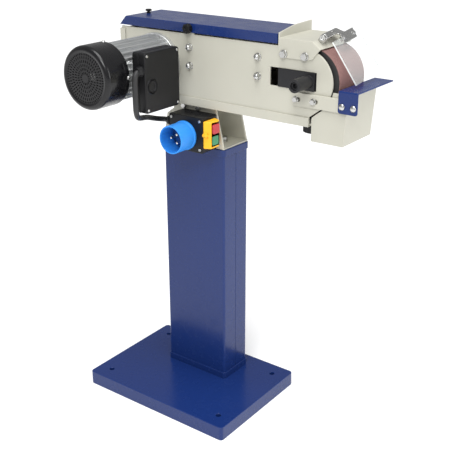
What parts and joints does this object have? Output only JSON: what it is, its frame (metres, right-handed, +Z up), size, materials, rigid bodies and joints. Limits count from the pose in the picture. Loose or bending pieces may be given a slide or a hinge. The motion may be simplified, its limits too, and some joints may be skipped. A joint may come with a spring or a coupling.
{
  "type": "belt disc sander",
  "caption": "Pedestal belt grinder: a side motor drives an abrasive belt round a rubber contact wheel, with visor, work rest, dust box and switch.",
  "frame": {"origin": "centre of the base's underside, on the floor", "axes": "+X towards the contact wheel and the work rest, -Y towards the motor and the switch, +Z up"},
  "size_m": [0.632, 0.3805, 0.916],
  "materials": {
    "stand_blue": "glossy textured powder coat",
    "body_grey": "satin powder coat",
    "steel": "zinc plated",
    "black_steel": "satin black",
    "black_plastic": "fine texture",
    "cable_black": "satin",
    "cast_aluminium": "as cast, painted silver",
    "belt_cloth": "coated abrasive grain on cloth",
    "tyre_black": "ground",
    "inlet_blue": "satin",
    "pin_brass": "nickel plated",
    "switch_yellow": "satin",
    "start_green": "satin",
    "stop_red": "satin",
    "visor_clear": "clear"
  },
  "bodies": {
    "stand": {"base_plate": "stand_blue", "column_near_shell": "stand_blue", "column_far_shell": "stand_blue", "column_collars": "stand_blue", "head_bracket": "body_grey", "head_foot": "body_grey", "bracket_bolts": "steel", "side_plate": "body_grey", "belly_channel": "body_grey", "rear_channel": "body_grey", "platen": "steel", "platen_brackets": "body_grey", "frame_bolts": "steel", "door_posts": "steel", "hood": "body_grey", "hood_bolts": "steel", "hinges": "steel", "abrasive_belt": "belt_cloth", "motor_housing": "cast_aluminium", "motor_flange": "cast_aluminium", "fan_cover": "black_steel", "cover_screws": "steel", "terminal_box": "black_plastic", "terminal_lid": "black_plastic", "cable_glands": "black_plastic", "motor_cable": "cable_black", "switch_box": "black_plastic", "box_screws": "steel", "inlet_shroud": "inlet_blue", "inlet_core": "inlet_blue", "inlet_pins": "pin_brass", "switch_housing": "switch_yellow", "visor_clamp": "steel", "arm_bolts": "steel", "dust_box": "body_grey", "box_hanger": "body_grey", "dust_port": "black_plastic"},
    "rotor": {"motor_shaft": "steel", "cooling_fan": "black_plastic", "drive_wheel": "cast_aluminium"},
    "carrier": {"wheel_carrier": "black_steel", "wheel_axle": "steel", "axle_screw": "black_steel"},
    "contact_wheel": {"wheel_hub": "cast_aluminium", "wheel_bearings": "steel", "wheel_tyre": "tyre_black"},
    "lid": {"lid": "stand_blue"},
    "lid_knob": {"lid_knob": "black_plastic"},
    "rear_knob": {"rear_knob": "black_plastic"},
    "visor": {"visor_arm": "steel", "visor": "visor_clear", "visor_screws": "steel"},
    "rest": {"rest_arm": "body_grey", "work_rest": "stand_blue", "rest_bolts": "steel"},
    "door": {"belt_door": "body_grey"},
    "door_knob_rear": {"door_knob_rear": "black_plastic"},
    "door_knob_front": {"door_knob_front": "black_plastic"},
    "start_button": {"start_button": "start_green"},
    "stop_button": {"stop_button": "stop_red"}
  },
  "joints": [
    {"name": "motor_spin", "type": "hinge", "parent": "stand", "child": "rotor", "pos_m": [-0.08711, 0.068, 0.81], "axis": [0, 1, 0], "continuous": true},
    {"name": "tension_slide", "type": "slide", "parent": "stand", "child": "carrier", "axis": [1, 0, 0], "range_m": [-0.016, 0]},
    {"name": "contact_spin", "type": "hinge", "parent": "carrier", "child": "contact_wheel", "pos_m": [0.308, 0.068, 0.815], "axis": [0, 1, 0], "continuous": true},
    {"name": "lid_hinge", "type": "hinge", "parent": "stand", "child": "lid", "pos_m": [0, 0.134, 0.884], "axis": [-1, 0, 0], "range_deg": [0, 180]},
    {"name": "lid_knob_turn", "type": "hinge", "parent": "lid", "child": "lid_knob", "pos_m": [0.006, 0.005, 0.8915], "axis": [0, -1, 0], "range_deg": [0, 360]},
    {"name": "rear_knob_turn", "type": "hinge", "parent": "lid", "child": "rear_knob", "pos_m": [-0.16312, 0.068, 0.902], "axis": [0, 0, 1], "range_deg": [0, 360]},
    {"name": "visor_hinge", "type": "hinge", "parent": "stand", "child": "visor", "pos_m": [0.32789, 0.026, 0.90124], "axis": [0.0978, -0.9925, -0.0727], "range_deg": [0, 70]},
    {"name": "rest_slide", "type": "slide", "parent": "stand", "child": "rest", "axis": [1, 0, 0], "range_m": [-0.006, 0.004]},
    {"name": "door_hinge", "type": "hinge", "parent": "stand", "child": "door", "pos_m": [0, 0.134, 0.7425], "axis": [-1, 0, 0], "range_deg": [0, 170]},
    {"name": "door_knob_rear_turn", "type": "hinge", "parent": "door", "child": "door_knob_rear", "pos_m": [0.05513, 0.13, 0.807], "axis": [0, 1, 0], "range_deg": [0, 360]},
    {"name": "door_knob_front_turn", "type": "hinge", "parent": "door", "child": "door_knob_front", "pos_m": [0.14995, 0.13, 0.807], "axis": [0, 1, 0], "range_deg": [0, 360]},
    {"name": "start_press", "type": "slide", "parent": "stand", "child": "start_button", "axis": [-1, 0, 0], "range_m": [0, 0.003], "stiffness_N_per_m": 400},
    {"name": "stop_press", "type": "slide", "parent": "stand", "child": "stop_button", "axis": [-1, 0, 0], "range_m": [0, 0.003], "stiffness_N_per_m": 400}
  ],
  "couplings": [
    {"joint": "contact_spin", "follows": "motor_spin", "ratio": 1.0769}
  ]
}
